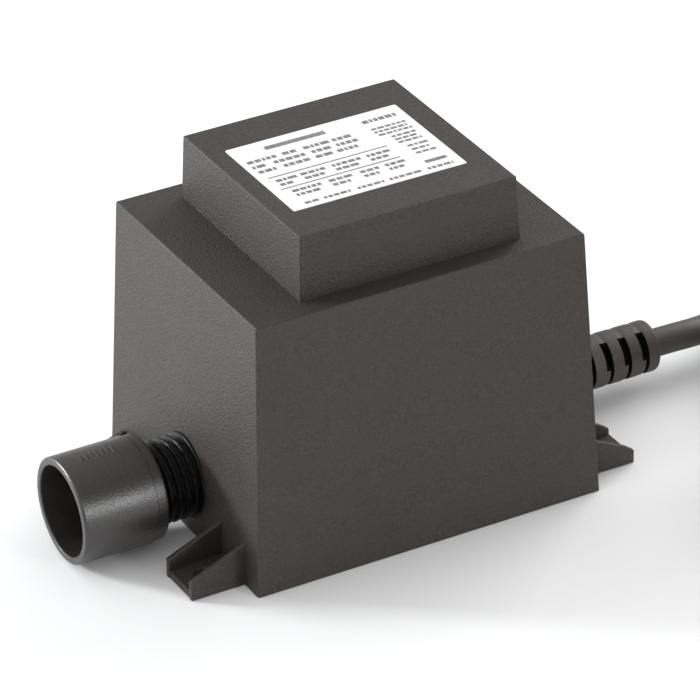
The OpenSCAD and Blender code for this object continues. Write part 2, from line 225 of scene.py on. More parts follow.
def boolean(obj, tools, operation):
    for t in tools:
        m = obj.modifiers.new("cut", "BOOLEAN")
        m.operation = operation
        m.solver = "EXACT"
        m.object = t
    graph = bpy.context.evaluated_depsgraph_get()
    mesh = bpy.data.meshes.new_from_object(obj.evaluated_get(graph))
    obj.modifiers.clear()
    obj.data = mesh
    for t in tools:
        bpy.data.objects.remove(t)
    bm = bmesh.new()
    bm.from_mesh(mesh)
    bmesh.ops.remove_doubles(bm, verts=bm.verts, dist=2e-6)
    bmesh.ops.dissolve_degenerate(bm, edges=bm.edges, dist=1e-6)
    bm.to_mesh(mesh)
    bm.free()
    mesh.update()


def temp(verts, faces):
    return add("tool", verts, faces, body=None)


# ---------------------------------------------------------------- materials
def start(name, rough, metallic=0.0, spec=0.5):
    m = bpy.data.materials.new(name)
    m.use_nodes = True
    tree = m.node_tree
    tree.nodes.clear()
    out = tree.nodes.new("ShaderNodeOutputMaterial")
    bsdf = tree.nodes.new("ShaderNodeBsdfPrincipled")
    tree.links.new(bsdf.outputs["BSDF"], out.inputs["Surface"])
    bsdf.inputs["Metallic"].default_value = metallic
    bsdf.inputs["Roughness"].default_value = rough
    bsdf.inputs["Specular IOR Level"].default_value = spec
    coord = tree.nodes.new("ShaderNodeTexCoord")
    return m, tree, bsdf, coord.outputs["Object"]


def noise_of(tree, vec, scale, detail=3.0, rough=0.5, stretch=None):
    if stretch:
        mp = tree.nodes.new("ShaderNodeMapping")
        mp.inputs["Scale"].default_value = stretch
        tree.links.new(vec, mp.inputs["Vector"])
        vec = mp.outputs["Vector"]
    t = tree.nodes.new("ShaderNodeTexNoise")
    t.inputs["Scale"].default_value = scale
    t.inputs["Detail"].default_value = detail
    t.inputs["Roughness"].default_value = rough
    tree.links.new(vec, t.inputs["Vector"])
    return t.outputs["Fac"]


def ramp_of(tree, fac, stops):
    r = tree.nodes.new("ShaderNodeValToRGB")
    while len(r.color_ramp.elements) < len(stops):
        r.color_ramp.elements.new(0.5)
    for e, (pos, col) in zip(r.color_ramp.elements, stops):
        e.position = pos
        e.color = (*col, 1)
    tree.links.new(fac, r.inputs["Fac"])
    return r.outputs["Color"]


def range_of(tree, fac, a, b, lo, hi):
    r = tree.nodes.new("ShaderNodeMapRange")
    r.inputs["From Min"].default_value = a
    r.inputs["From Max"].default_value = b
    r.inputs["To Min"].default_value = lo
    r.inputs["To Max"].default_value = hi
    tree.links.new(fac, r.inputs["Value"])
    return r.outputs["Result"]


def math_of(tree, op, a, b):
    m = tree.nodes.new("ShaderNodeMath")
    m.operation = op
    for i, v in enumerate((a, b)):
        if isinstance(v, (int, float)):
            m.inputs[i].default_value = v
        else:
            tree.links.new(v, m.inputs[i])
    return m.outputs["Value"]


def bump_of(tree, bsdf, height, distance, strength=1.0, below=None):
    b = tree.nodes.new("ShaderNodeBump")
    b.inputs["Distance"].default_value = distance
    b.inputs["Strength"].default_value = strength
    tree.links.new(height, b.inputs["Height"])
    if below is not None:
        tree.links.new(below, b.inputs["Normal"])
    tree.links.new(b.outputs["Normal"], bsdf.inputs["Normal"])
    return b.outputs["Normal"]


def shade(col, k):
    return tuple(min(1.0, c * k) for c in col)


def plastic(name, col, rough, grain=2600, depth=0.00003, speck=0.12, blotch=0.05, spec=0.5):
    """Moulded plastic: spark-eroded grain, fine light specks and faint larger clouds."""
    m, tree, bsdf, vec = start(name, rough, spec=spec)
    fine = noise_of(tree, vec, grain, 2.0, 0.6)
    cloud = noise_of(tree, vec, 45, 4.0, 0.6)
    mix = math_of(
        tree,
        "ADD",
        range_of(tree, fine, 0.25, 0.75, 0.0, speck / (speck + blotch)),
        range_of(tree, cloud, 0.3, 0.7, 0.0, blotch / (speck + blotch)),
    )
    total = speck + blotch
    tree.links.new(
        ramp_of(tree, mix, [(0.0, shade(col, 1 - total)), (1.0, shade(col, 1 + total))]),
        bsdf.inputs["Base Color"],
    )
    tree.links.new(
        range_of(tree, cloud, 0.3, 0.7, rough - 0.04, rough + 0.04),
        bsdf.inputs["Roughness"],
    )
    bump_of(tree, bsdf, fine, depth)
    return m


def metal(name, col, rough, scratch=(60, 900, 900), depth=0.00001):
    m, tree, bsdf, vec = start(name, rough, metallic=1.0)
    lines = noise_of(tree, vec, 1.0, 4.0, 0.6, stretch=scratch)
    cloud = noise_of(tree, vec, 160, 3.0)
    tree.links.new(
        ramp_of(tree, cloud, [(0.3, shade(col, 0.86)), (0.7, shade(col, 1.06))]),
        bsdf.inputs["Base Color"],
    )
    tree.links.new(
        range_of(tree, lines, 0.3, 0.7, rough - 0.08, rough + 0.1), bsdf.inputs["Roughness"]
    )
    bump_of(tree, bsdf, lines, depth)
    return m


def banded(name, a, b, rough, per_m, axis, metallic=0.0, depth=0.0001, wobble=0.4):
    """Thin layers or wires: stripes across one axis."""
    m, tree, bsdf, vec = start(name, rough, metallic=metallic)
    wave = tree.nodes.new("ShaderNodeTexWave")
    wave.wave_type = "BANDS"
    wave.bands_direction = axis
    wave.wave_profile = "SIN"
    wave.inputs["Scale"].default_value = per_m * math.pi / 10
    wave.inputs["Distortion"].default_value = wobble
    wave.inputs["Detail"].default_value = 2
    wave.inputs["Detail Scale"].default_value = 1.5
    tree.links.new(vec, wave.inputs["Vector"])
    cloud = noise_of(tree, vec, 120, 3.0)
    mix = math_of(tree, "ADD", math_of(tree, "MULTIPLY", wave.outputs["Fac"], 0.7),
                  math_of(tree, "MULTIPLY", cloud, 0.3))
    tree.links.new(ramp_of(tree, mix, [(0.1, a), (0.8, b)]), bsdf.inputs["Base Color"])
    tree.links.new(range_of(tree, cloud, 0.3, 0.7, rough - 0.06, rough + 0.08),
                   bsdf.inputs["Roughness"])
    bump_of(tree, bsdf, wave.outputs["Fac"], depth)
    return m


def resin(name):
    m, tree, bsdf, vec = start(name, 0.32, spec=0.5)
    cloud = noise_of(tree, vec, 28, 5.0, 0.6)
    cell = tree.nodes.new("ShaderNodeTexVoronoi")
    cell.inputs["Scale"].default_value = 190
    tree.links.new(vec, cell.inputs["Vector"])
    pits = range_of(tree, cell.outputs["Distance"], 0.0, 0.16, 0.0, 1.0)
    tree.links.new(
        ramp_of(tree, cloud, [(0.3, (0.018, 0.016, 0.013)), (0.7, (0.038, 0.034, 0.028))]),
        bsdf.inputs["Base Color"],
    )
    tree.links.new(range_of(tree, cloud, 0.3, 0.7, 0.26, 0.42), bsdf.inputs["Roughness"])
    swell = noise_of(tree, vec, 55, 2.0, 0.4)
    first = bump_of(tree, bsdf, swell, 0.0012, 0.6)
    bump_of(tree, bsdf, pits, 0.0003, 0.6, below=first)
    return m


def paper_white(name):
    m, tree, bsdf, vec = start(name, 0.3, spec=0.5)
    bsdf.inputs["Coat Weight"].default_value = 0.4
    bsdf.inputs["Coat Roughness"].default_value = 0.12
    cloud = noise_of(tree, vec, 70, 4.0, 0.6)
    tree.links.new(
        ramp_of(tree, cloud, [(0.3, (0.84, 0.84, 0.84)), (0.7, (0.875, 0.875, 0.872))]),
        bsdf.inputs["Base Color"],
    )
    tree.links.new(range_of(tree, cloud, 0.3, 0.7, 0.30, 0.35), bsdf.inputs["Roughness"])
    bump_of(tree, bsdf, noise_of(tree, vec, 900, 2.0), 0.00001)
    return m


def ink(name):
    m, tree, bsdf, vec = start(name, 0.4, spec=0.5)
    fine = noise_of(tree, vec, 1800, 2.0, 0.7)
    tree.links.new(
        ramp_of(tree, fine, [(0.35, (0.11, 0.107, 0.11)), (0.7, (0.29, 0.286, 0.29))]),
        bsdf.inputs["Base Color"],
    )
    tree.links.new(range_of(tree, fine, 0.3, 0.7, 0.34, 0.46), bsdf.inputs["Roughness"])
    return m


def floor_mat(name):
    m, tree, bsdf, vec = start(name, 0.75, spec=0.15)
    cloud = noise_of(tree, vec, 9, 3.0)
    tree.links.new(
        ramp_of(tree, cloud, [(0.3, (0.865, 0.865, 0.865)), (0.7, (0.885, 0.885, 0.885))]),
        bsdf.inputs["Base Color"],
    )
    return m


HOUSING = plastic("housing_plastic", (0.0343, 0.0288, 0.0252), 0.52, grain=1900, depth=0.00028, speck=0.5, blotch=0.08, spec=0.42)
COLLAR = plastic("collar_plastic", (0.0168, 0.0140, 0.0122), 0.36, grain=1900, depth=0.00008, speck=0.6, spec=0.86)
SPIGOT = plastic("spigot_plastic", (0.005, 0.0045, 0.0041), 0.36, depth=0.00002, speck=0.1, spec=0.22)
INSERT = plastic("insert_plastic", (0.005, 0.005, 0.005), 0.45, depth=0.00002, speck=0.1)
RELIEF = plastic("relief_rubber", (0.064, 0.0565, 0.0515), 0.56, grain=1900, depth=0.00005, speck=0.18)
# painted shade: a near-black matt material for the recess faces of the strain relief
RELIEF_PAINTED_SHADE = plastic("relief_painted_shade", (0.0045, 0.0042, 0.004), 0.75, grain=1900, depth=0.00003, speck=0.10, spec=0.15)
CORD = plastic("cord_rubber", (0.068, 0.0605, 0.0555), 0.52, grain=1500, depth=0.00004, speck=0.16)
RUBBER = plastic("gasket_rubber", (0.020, 0.020, 0.020), 0.62, grain=1800, depth=0.00003)
NYLON_BLACK = plastic("tie_nylon", (0.022, 0.022, 0.022), 0.42, grain=1400, depth=0.00002)
PLUG = plastic("plug_vinyl", (0.040, 0.039, 0.038), 0.42, grain=2000, depth=0.00003)
BRASS = metal("contact_brass", (0.78, 0.57, 0.24), 0.3)
NICKEL = metal("pin_nickel", (0.72, 0.71, 0.68), 0.24)
TINNED = metal("tinned_metal", (0.74, 0.74, 0.75), 0.32)
STEEL = banded("lamination_steel", (0.16, 0.16, 0.17), (0.42, 0.42, 0.44), 0.42, 2000, "Z", 0.9)
COPPER_A = banded("primary_copper", (0.30, 0.10, 0.035), (0.72, 0.30, 0.12), 0.3, 2600, "Y", 0.7)
COPPER_B = banded("secondary_copper", (0.30, 0.11, 0.04), (0.75, 0.33, 0.14), 0.3, 800, "Y", 0.7, 0.0003)
NYLON = plastic("bobbin_nylon", (0.62, 0.58, 0.46), 0.5, grain=1500, speck=0.05)
TAPE = banded("coil_tape", (0.62, 0.50, 0.10), (0.82, 0.70, 0.20), 0.35, 110, "Y", 0.0, 0.00008)
SLEEVE = banded("cutout_sleeve", (0.62, 0.62, 0.58), (0.80, 0.80, 0.77), 0.55, 1400, "X", 0.0, 0.0001)
LEAD_RED = plastic("lead_red", (0.42, 0.035, 0.025), 0.4, grain=1500, speck=0.06)
LEAD_BLUE = plastic("lead_blue", (0.035, 0.05, 0.40), 0.4, grain=1500, speck=0.06)
JOINT = plastic("joint_red", (0.48, 0.03, 0.03), 0.35, grain=1200, speck=0.06)
CORE = plastic("core_brown", (0.17, 0.075, 0.035), 0.42, grain=1500, speck=0.06)
RESIN = resin("potting_resin")
LABEL = paper_white("label_gloss")
INK = ink("label_print")
FLOOR = floor_mat("floor")


# ---------------------------------------------------------------- mains cord
CORD_R = 3.9
CORD_ROUTE = [
    (62, 0, 11), (72, 0, 11), (82, 0, 11), (90, 0, 11), (99, 0, 10.85), (105, 0.4, 10.4),
    (111, 1.9, 9.5), (117, 4.3, 8.1), (123, 7.9, 6.5), (129, 11.6, 5), (135, 15.4, 4.1),
]
TAIL_ROUTE = [
    (182.3, 26, 14.6), (192.9, 21.6, 17), (201.9, 14.7, 19), (208.9, 5.6, 19.9),
    (213.3, -4.9, 20.1), (214.8, -16.3, 20.4), (213.3, -27.6, 21.4), (208.9, -38.1, 23),
    (201.9, -47.2, 25), (192.9, -54.1, 27), (182.3, -58.5, 28.4), (171, -60, 28.8),
    (165, -60, 28.8),
]
COIL_X, COIL_Y, COIL_START, COIL_END = 171.0, -30.5, 122.0, 2192.0
TIE = math.radians(-75)


def coil_radius(t):
    if t <= 945:
        return 58 - 8 * t / 360
    if t >= 1170:
        return 33.29 + 8 * (t - 1080) / 360
    w = (t - 945) / 225
    a, b, da, db = 58 - 8 * 945 / 360, 33.29 + 2.0, -8 * 225 / 360, 8 * 225 / 360
    return (
        (2 * w**3 - 3 * w**2 + 1) * a
        + (w**3 - 2 * w**2 + w) * da
        + (3 * w**2 - 2 * w**3) * b
        + (w**3 - w**2) * db
    )


def coil_point(t):
    a = math.radians(COIL_START - t)
    r = coil_radius(t)
    x, y = r * math.cos(a), r * math.sin(a)
    z = 3.9 + 7.8 * step(t, 945, 1170)
    across = x * math.sin(TIE) - y * math.cos(TIE)
    tied = math.exp(-((across / 12) ** 2)) if x * math.cos(TIE) + y * math.sin(TIE) > 0 else 0.0
    z += 0.6 * tied
    z += 0.7 * step(t, COIL_END - 20, COIL_END)
    return (COIL_X + x, COIL_Y + y, z)


def catmull(points, spacing):
    out = []
    for i in range(1, len(points) - 2):
        p0, p1, p2, p3 = (Vector(points[i + k]) for k in (-1, 0, 1, 2))
        n = max(1, round((p2 - p1).length / spacing))
        for k in range(n):
            t = k / n
            out.append(
                0.5
                * (
                    2 * p1
                    + (p2 - p0) * t
                    + (2 * p0 - 5 * p1 + 4 * p2 - p3) * t * t
                    + (3 * p1 - p0 - 3 * p2 + p3) * t**3
                )
            )
    out.append(Vector(points[-2]))
    return out


def cord_line():
    first = catmull(
        [(52, 0, 11)] + CORD_ROUTE + [coil_point(0), coil_point(6)], 2.6
    )
    t, turns = 0.0, []
    while t < COIL_END:
        t += 2.6 / math.radians(1) / max(30, coil_radius(t))
        if t < COIL_END - 1.5:
            turns.append(Vector(coil_point(t)))
    last = catmull([coil_point(COIL_END - 6), coil_point(COIL_END)] + TAIL_ROUTE, 2.6)
    return first + turns + last


def tube(points, radius, n, cap=True):
    """A tube with frames carried along the line, so that it doesn't twist."""
    rings, side = [], None
    for i, p in enumerate(points):
        t = (points[min(i + 1, len(points) - 1)] - points[max(i - 1, 0)]).normalized()
        if side is None:
            side = t.cross(Vector((0, 0, 1))).normalized()
        side = (side - t * side.dot(t)).normalized()
        up = side.cross(t)
        r = radius(i) if callable(radius) else radius
        rings.append(
            [
                tuple(p + side * (r * math.cos(2 * math.pi * j / n))
                      + up * (r * math.sin(2 * math.pi * j / n)))
                for j in range(n)
            ]
        )
    return grid(rings, cap_start=cap, cap_end=cap)


line = cord_line()
cord = add("mains_cord_run", *tube(line, CORD_R, 24), slot="cord_rubber", mats=[CORD])
smooth(cord, 60, weighted=False)
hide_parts("mains_cord", "cord_coil", "cord_tail")

inner = add(
    "mains_cord_inside",
    *tube([Vector((40 + 2.2 * i, 0, 11)) for i in range(11)], CORD_R, 24),
    slot="cord_rubber",
    mats=[CORD],
)
smooth(inner, 60, weighted=False)


# ---------------------------------------------------------------- tie round the coil
def tie_piece():
    out = Vector((math.cos(TIE), math.sin(TIE), 0))
    side = Vector((math.sin(TIE), -math.cos(TIE), 0))
    mid = Vector((COIL_X, COIL_Y, 0))

    def place(w, r, z):
        return tuple(mid + out * r + side * w + Vector((0, 0, z)))

    # a flat band round the coil, not pulled tight: it clears the turns by 5 mm at both ends
    path = fillet(
        [(28.8, 0.29, 4.6), (62.65, 0.29, 4.6), (62.65, 16.55, 4.6), (28.8, 16.55, 4.6)], seg=9
    )
    fine = []
    for i, p in enumerate(path):
        q = path[(i + 1) % len(path)]
        k = max(1, round(math.dist(p, q) / 0.55))
        fine += [(p[0] + (q[0] - p[0]) * j / k, p[1] + (q[1] - p[1]) * j / k) for j in range(k)]
    n, rings = len(fine), []
    section = fillet(
        [(-3.0, -0.29, 0.18), (3.0, -0.29, 0.18), (3.0, 0.29, 0.18), (-3.0, 0.29, 0.18)], seg=2
    )
    for i in range(n):
        p, q, s = (Vector(fine[(i + k) % n]) for k in (-1, 0, 1))
        tangent = (s - p).normalized()
        normal = Vector((tangent.y, -tangent.x))
        ring = []
        for w, d in section:
            # fine cross ribs along the outer face, and a plain border on both sides
            rib = 0.12 if d > 0.2 and abs(w) < 2.9 and i % 2 else 0.0
            at = q + normal * (d - rib)
            ring.append(place(w, at.x, at.y))
        rings.append(ring)
    strap = add("coil_tie_strap", *grid(rings, closed=True), slot="tie_black", mats=[NYLON_BLACK])
    smooth(strap, 40)
    box = fillet(
        [(-4.0, 5.0, 0.9), (4.0, 5.0, 0.9), (4.0, 11.0, 0.9), (-4.0, 11.0, 0.9)], seg=4
    )
    rings = []
    for r, k in ((62.4, 0.94), (62.9, 1.0), (64.9, 1.0), (65.5, 0.96), (65.75, 0.86)):
        rings.append([place(w * k, r, 8 + (z - 8) * k) for w, z in box])
    head = add(
        "coil_tie_head", *grid(rings, cap_start=True, cap_end=True), slot="tie_black",
        mats=[NYLON_BLACK],
    )
    smooth(head, 40)
    return strap, head


tie, tie_head = tie_piece()
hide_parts("coil_tie")


# ---------------------------------------------------------------- mains plug
PLUG_Y, PLUG_Z, PLUG_X, BOOT_END = -60.0, 28.8, 109.0, 171.0


def rounded_loop(x, a, b, r, cy, cz, per=8):
    pts = []
    for cxs, czs, a0 in ((1, 1, 0), (-1, 1, 90), (-1, -1, 180), (1, -1, 270)):
        for k in range(per + 1):
            w = math.radians(a0 + 90 * k / per)
            pts.append(
                (x, cy + cxs * (a / 2 - r) + r * math.cos(w), cz + czs * (b / 2 - r) + r * math.sin(w))
            )
    return pts


def plug_piece():
    keys = [  # distance from the face, width, height, corner radius
        (0.0, 31.0, 21.0, 8.0), (0.15, 33.0, 23.0, 8.5), (0.6, 34.6, 24.6, 9.2), (1.3, 35.6, 25.6, 9.8),
        (2.2, 36.0, 26.0, 10.0), (9.4, 36.0, 26.0, 10.0), (10.6, 35.7, 25.8, 10.0), (12.2, 34.0, 24.8, 9.9),
        (15.0, 31.4, 23.3, 9.6), (18.0, 29.0, 22.0, 9.3), (20.8, 27.0, 20.9, 9.0),
        (24.0, 23.6, 19.0, 8.4), (28.0, 19.6, 16.8, 7.8), (31.5, 16.2, 15.0, 7.2), (34.0, 14.2, 14.0, 6.9),
    ]

    def at(d):
        for p, q in zip(keys, keys[1:]):
            if d <= q[0]:
                w = (d - p[0]) / (q[0] - p[0])
                return [p[k] + (q[k] - p[k]) * w for k in (1, 2, 3)]
        return list(keys[-1][1:])

    stops, d = [0.0, 0.15, 0.35, 0.6, 0.95, 1.3, 1.75, 2.2], 2.2
    while d < 34.0:
        d += 0.36
        stops.append(min(d, 34.0))
    rings = []
    for d in stops:
        a, b, r = at(d)
        ring = rounded_loop(PLUG_X + d, a, b, r, PLUG_Y, PLUG_Z)
        # grip ridges on the two wide sides
        out = []
        for x, y, z in ring:
            dy, dz = y - PLUG_Y, z - PLUG_Z
            groove = 0.0
            if 11.5 < d < 22.0:
                phase = (d - 11.5) / 2.1 % 1
                groove = 0.55 * (0.5 - 0.5 * math.cos(2 * math.pi * phase))
                groove *= step(abs(dz), 4.5, 7.5) * 1.0
            k = 1 - groove / max(6.0, math.hypot(dy, dz))
            out.append((x, PLUG_Y + dy * k, PLUG_Z + dz * k))
        rings.append(out)
    verts, faces = grid(rings, cap_start=True, cap_end=True)
    n, rows = 48, []
    x = PLUG_X + 32.5
    while x < BOOT_END:
        base = 6.9 + (5.2 - 6.9) * (x - PLUG_X - 33) / 29
        ribs = 0.0
        if BOOT_END - 24.5 < x < BOOT_END - 2.5:
            phase = (x - BOOT_END + 24.5) / 3.6667 % 1
            ribs = 0.95 * step(abs(phase - 0.5), 0.30, 0.22)
        rows.append((x, base - ribs))
        x += 0.22
    rows += [(BOOT_END, 4.9), (BOOT_END, 3.95)]
    prof = [(PLUG_X + 32.5, 4.2)] + rows
    v, f = lathe_x(prof, n, PLUG_Y, PLUG_Z)
    boot = temp(v, f)
    body = add("mains_plug_body", verts, faces, slot="plug_black", mats=[PLUG])
    boolean(body, [boot], "UNION")
    body.data.polygons.foreach_set("material_index", [0] * len(body.data.polygons))
    smooth(body, 40)
    verts, faces = [], []
    for s in (-1, 1):
        prof = fillet(
            [(PLUG_X + 1, 0, 0), (PLUG_X + 1, 2.9, 0), (PLUG_X - 0.25, 2.9, 0.2), (PLUG_X - 0.3, 2.4, 0.1),
             (PLUG_X - 17.4, 2.4, 0.6), (PLUG_X - 18.6, 1.7, 0.6), (PLUG_X - 19, 0.8, 0.3), (PLUG_X - 19, 0, 0)],
            closed=False,
        )
        prof = [(PLUG_X + 1, 0)] + prof[1:]
        v, f = lathe_x(prof, 40, PLUG_Y + 9.5 * s, PLUG_Z)
        k = len(verts)
        verts += v
        faces += [tuple(i + k for i in face) for face in f]
    pins = add("mains_plug_pins", verts, faces, slot="pin_nickel", mats=[NICKEL])
    smooth(pins, 40)
    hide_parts("mains_plug")
    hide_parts("plug_pins")
    return body, pins


plug, plug_pins = plug_piece()


# ---------------------------------------------------------------- housing
BASE_X, BASE_Y, TOP_X, TOP_Y, BOX_H = 50.4, 41.35, 47.2, 38.3, 75.8
DRAFT = (BASE_X - TOP_X) / BOX_H
BLOCK_X, BLOCK_Y, TOTAL, BLOCK_AT = 31.0, 31.3, 93.5, 0.3
WALL = 2.5
CEIL = BOX_H - WALL
EAR_Y, EAR_W, WEB, TIP, EAR_FLOOR = 27.0, 14.0, 1.5, 65.5, 2.2
TIP_H = {-1: 5.2, 1: 3.6}  # outlet side, cord side


def beside(solid):
    return [(x + BLOCK_AT, y, z) for x, y, z in solid[0]], solid[1]


def housing_piece():
    shell = add("housing_shell", *frustum(BASE_X, BASE_Y, 0, TOP_X, TOP_Y, BOX_H), slot="housing", mats=[HOUSING])
    bevel(shell, 0.5, 4, lambda p: not all(abs(v.z) < 0.01 for v in p))
    block = temp(*beside(frustum(BLOCK_X + 0.75, BLOCK_Y + 0.75, BOX_H - 1.5, BLOCK_X, BLOCK_Y, TOTAL)))
    bevel(block, 0.5, 4, lambda p: not all(v.z < BOX_H for v in p))
    parts = [block]
    for sx in (-1, 1):
        for sy in (-1, 1):
            root = 10.6 if sx < 0 < sy else 11.7
            web = [
                (BASE_X - 2, 0), (TIP, 0), (TIP, TIP_H[sx]), (TIP - 2.6, TIP_H[sx] + (1.2 if sx < 0 else 1.8)),
                (BASE_X - 0.45, root), (BASE_X - 2, root + 0.6),
            ]
            y = sy * EAR_Y
            for y0 in (y - EAR_W / 2, y + EAR_W / 2 - WEB):
                v, f = prism([(sx * px, pz) for px, pz in web], y0, y0 + WEB)
                w = temp(v, f)
                bevel(
                    w, 0.28, 3,
                    lambda p: not all(abs(v.z) < 0.01 for v in p)
                    and not all(abs(v.x) < BASE_X - 1.9 for v in p),
                )
                parts.append(w)
            x0, x1 = sorted((sx * (BASE_X - 2), sx * (TIP - 0.25)))
            v, f = prism([(x0, 0.0), (x1, 0.0), (x1, EAR_FLOOR), (x0, EAR_FLOOR)], y - EAR_W / 2 + 0.5, y + EAR_W / 2 - 0.5)
            parts.append(temp(v, f))
    boolean(shell, parts, "UNION")
    cuts = []
    low = 1.0
    cuts.append(
        temp(
            *frustum(
                BASE_X - WALL + DRAFT * low, BASE_Y - WALL + DRAFT * low, -low,
                BASE_X - WALL - DRAFT * CEIL, BASE_Y - WALL - DRAFT * CEIL, CEIL,
            )
        )
    )
    cuts.append(
        temp(
            *beside(frustum(
                BLOCK_X - WALL + 0.9, BLOCK_Y - WALL + 0.9, CEIL - 1,
                BLOCK_X - WALL, BLOCK_Y - WALL, TOTAL - WALL,
            ))
        )
    )
    for sx in (-1, 1):
        for sy in (-1, 1):
            rings = []
            for z, r in ((-1, 2.4), (EAR_FLOOR - 0.35, 2.4), (EAR_FLOOR + 0.65, 3.4)):
                rings.append(
                    [
                        (sx * 58.4 + r * math.cos(2 * math.pi * j / 40),
                         sy * EAR_Y + r * math.sin(2 * math.pi * j / 40), z)
                        for j in range(40)
                    ]
                )
            cuts.append(temp(*grid(rings, cap_start=True, cap_end=True)))
    for x0, x1, r, y, z in ((-53, -44, 11.45, -1, 15.1), (44, 53, 6.35, 0, 11)):
        cuts.append(temp(*grid([ring_x(x0, r, 64, y, z), ring_x(x1, r, 64, y, z)], cap_start=True, cap_end=True)))
    boolean(shell, cuts, "DIFFERENCE")
    if not shell.data.materials:
        shell.data.materials.append(HOUSING)
    shell.data.polygons.foreach_set("material_index", [0] * len(shell.data.polygons))
    smooth(shell, 33)
    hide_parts("housing")
    return shell


housing = housing_piece()

# ---------------------------------------------------------------- 12 V outlet
OY, OZ = -1.0, 15.1
THREAD_R, DEPTH, PITCH = 11.0, 1.1, 2.4


def wave(a):
    return min(1.0, max(-1.0, 1.7 * math.cos(math.radians(a))))


def thread_at(x, extra=0.0, fade=1.0):
    mean = THREAD_R - DEPTH / 2 + extra
    return lambda a: mean - (1 - fade) * DEPTH / 2 + fade * DEPTH / 2 * wave(a - 360 * x / PITCH)


def spigot_piece():
    n, rows = 144, []
    x = -72.0
    rows.append((x, 9.6))
    while x < -50.2:
        k = step(x, -72.0, -70.6)
        rows.append((x, thread_at(x, 0.0, k) if k < 1 else thread_at(x)))
        x += PITCH / 22
    tail = fillet(
        [(-50.2, 9.8, 0), (-50.2, 11.4, 0.35), (-46.3, 11.4, 0.3), (-46.3, 14.0, 0.4), (-43.8, 14.0, 0.4),
         (-43.8, 8.8, 0.4), (-71.8, 8.8, 0.5), (-72.0, 9.2, 0)],
        closed=False,
    )
    rings = [ring_x(x, r, n, OY, OZ) for x, r in rows + tail[1:]]
    piece = add("outlet_spigot_thread", *grid(rings, closed=True), slot="outlet_black", mats=[SPIGOT])
    smooth(piece, 50, weighted=False)
    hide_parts("outlet_spigot")


spigot_piece()


def insert_piece():
    prof = fillet([(-70.5, 0, 0), (-70.5, 8.7, 0.45), (-42.0, 8.7, 0.45), (-42.0, 0, 0)], closed=False)
    piece = add("socket_insert_body", *lathe_x(prof, 96, OY, OZ), slot="insert_black", mats=[INSERT])
    cuts = []
    for s in (-1, 1):
        rings = [
            ring_x(x, r, 40, OY + 4.5 * s, OZ)
            for x, r in ((-71.5, 3.85), (-70.1, 2.65), (-41.0, 2.65))
        ]
        cuts.append(temp(*grid(rings, cap_start=True, cap_end=True)))
    boolean(piece, cuts, "DIFFERENCE")
    smooth(piece, 33)
    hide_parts("socket_insert")


insert_piece()


def contacts_piece():
    verts, faces = [], []
    for s in (-1, 1):
        prof = fillet(
            [(-52, 0, 0), (-52, 1.6, 0.1), (-69.1, 1.6, 0.2), (-69.5, 2.1, 0.15), (-69.3, 2.6, 0.2),
             (-42, 2.6, 0.3), (-42, 1.6, 0.2), (-33, 1.6, 0.3), (-33, 0, 0)],
            closed=False,
        )
        v, f = lathe_x(prof, 40, OY + 4.5 * s, OZ)
        k = len(verts)
        verts += v
        faces += [tuple(i + k for i in face) for face in f]
    piece = add("contact_sleeves_pair", verts, faces, slot="contact_brass", mats=[BRASS])
    smooth(piece, 40)
    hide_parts("contact_sleeves")


contacts_piece()


def gasket_piece():
    prof = fillet(
        [(-69.3, 11.35, 0.2), (-69.3, 11.85, 0.2), (-67.3, 11.85, 0.2), (-67.3, 11.35, 0.2)], seg=3
    )
    piece = add("collar_gasket_ring", *lathe_x(prof, 96, OY, OZ), body="gasket_body", slot="gasket_rubber", mats=[RUBBER])
    smooth(piece, 50)
    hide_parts("collar_gasket")


gasket_piece()


def collar_piece():
    n, rad, b, m = 288, 14.3, -61.4, -85.2
    # generic raised dashes on its top: (x0, x1, angle0, angle1)
    ribs = [(-79.4 + 1.5 * i, -78.9 + 1.5 * i, 86 - 3 * (i % 2), 98 - 2 * (i % 3)) for i in range(7)]

    def outer(x, r0):
        def r(a):
            h = 0.0
            for x0, x1, a0, a1 in ribs:
                if x0 - 0.4 < x < x1 + 0.4 and a0 - 3 < a < a1 + 3:
                    h = max(h, step(x, x0 - 0.15, x0 + 0.1) * step(-x, -x1 - 0.15, -x1 + 0.1)
                            * step(a, a0 - 1.0, a0 + 1.0) * step(-a, -a1 - 1.0, -a1 + 1.0))
            return r0 + 0.13 * h
        return r

    rows = []
    front = fillet(
        [(m + 0.45, 12.1, 0), (m, 12.35, 0.2), (m, rad - 0.5, 0.25), (m + 0.25, rad - 0.12, 0.3),
         (m + 0.65, rad, 0.4), (m + 2.0, rad, 0)],
        closed=False, seg=3,
    )
    for x, r in front:
        rows.append((x, r))
    x = m + 2.0
    while x < b - 3.3:
        x += 0.12 if -79.9 < x < -69.2 else 0.8
        rows.append((x, outer(x, rad)))
    rows += [(b - 3.05, rad), (b - 2.98, rad - 0.02), (b - 2.84, rad - 0.15), (b - 2.76, rad - 0.17)]
    rows += [(x, r) for x, r in fillet(
        [(b - 1.0, rad - 0.17, 0), (b, rad - 0.2, 0.4), (b, 11.4, 0.25), (b - 0.5, 11.1, 0)], closed=False, seg=3)]
    x = b - 0.5
    while x > b - 5.6:
        k = step(x, b - 0.4, b - 1.2) if x > b - 1.2 else 1.0
        k = min(k, 1.0)
        rows.append((x, thread_at(x, 0.35)))
        x -= PITCH / 22
    inner_wall = [
        (b - 5.6, 11.9), (m + 13.6, 11.9), (m + 13.6, 11.6), (m + 12.7, 11.6), (m + 12.7, 12.1),
    ]
    rows += inner_wall
    rings = [ring_x(x, r, n, OY, OZ) for x, r in rows]
    piece = add("collar_sleeve", *grid(rings, closed=True), body="collar_body", slot="collar_black", mats=[COLLAR])
    smooth(piece, 42)
    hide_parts("collar")


collar_piece()


